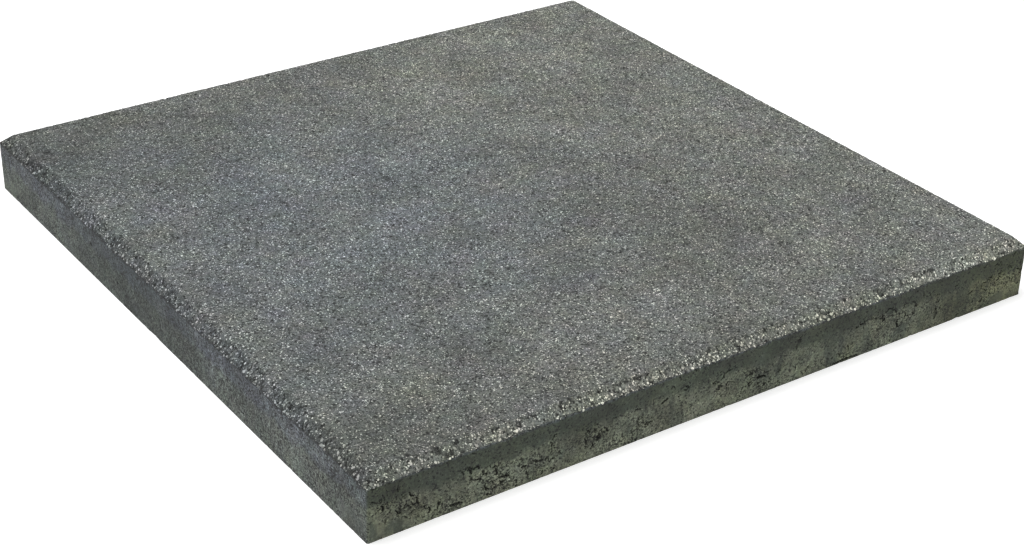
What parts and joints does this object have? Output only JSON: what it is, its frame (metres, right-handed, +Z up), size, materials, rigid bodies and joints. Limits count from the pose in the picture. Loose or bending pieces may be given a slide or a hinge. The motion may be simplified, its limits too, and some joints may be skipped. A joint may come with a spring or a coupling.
{
  "type": "concrete ballast slab",
  "caption": "Square pressed concrete slab with a blasted, bevelled top face and plain formed sides, laid flat as ballast or paving.",
  "frame": {"origin": "centre of the underside, the face the slab lies on", "axes": "+Z up through the thickness, towards the blasted face; X and Y along the edges of the square plan"},
  "size_m": [0.5, 0.5, 0.042],
  "materials": {
    "cast_concrete": "matte"
  },
  "bodies": {
    "root": {"ballast_slab": "cast_concrete"}
  },
  "joints": []
}
